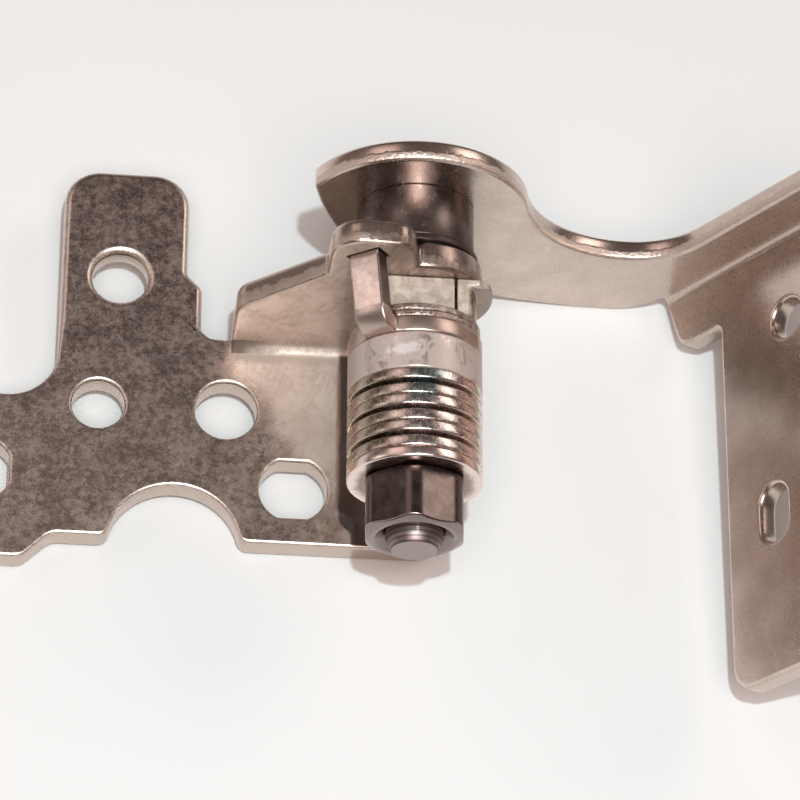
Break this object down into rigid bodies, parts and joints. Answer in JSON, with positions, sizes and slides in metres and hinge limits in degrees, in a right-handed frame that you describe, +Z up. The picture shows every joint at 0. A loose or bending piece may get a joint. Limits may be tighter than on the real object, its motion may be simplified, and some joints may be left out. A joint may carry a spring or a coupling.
{
  "type": "laptop lid hinge",
  "caption": "Friction hinge for a laptop lid: a drilled base bracket with an upright ear, a slanted lid bracket on a curved arm, and conical spring washers under a lock nut.",
  "frame": {"origin": "centre of the inner base hole, on the base plate's mounting face", "axes": "+Z up out of the mounting face along the base holes, +Y along the shaft from the nut to the lid arm, +X from the base plate towards the lid bracket"},
  "size_m": [0.0498, 0.0301, 0.0166],
  "materials": {
    "base_plate": "mottled nickel plate",
    "lid_plate": "satin nickel plate",
    "shaft_steel": "dark plated",
    "washer_steel": "plated",
    "greased_steel": "plated, smeared with grease",
    "friction_bronze": "satin",
    "spring_steel": "tempered"
  },
  "bodies": {
    "base": {"base_bracket": "base_plate", "tab_washer": "washer_steel"},
    "lid": {"lid_bracket": "lid_plate", "hinge_shaft": "shaft_steel", "rear_washer": "washer_steel", "stop_cam": "greased_steel", "friction_washer_1": "friction_bronze", "friction_washer_2": "friction_bronze", "pressure_washer": "greased_steel", "disc_spring_1": "spring_steel", "disc_spring_2": "spring_steel", "disc_spring_3": "spring_steel", "disc_spring_4": "spring_steel", "disc_spring_5": "spring_steel", "disc_spring_6": "spring_steel", "end_washer": "washer_steel", "lock_nut": "shaft_steel"}
  },
  "joints": [
    {"name": "lid_pivot", "type": "hinge", "parent": "base", "child": "lid", "pos_m": [0.0093, 0, 0.0085], "axis": [0, -1, 0], "range_deg": [-14, 121]}
  ]
}
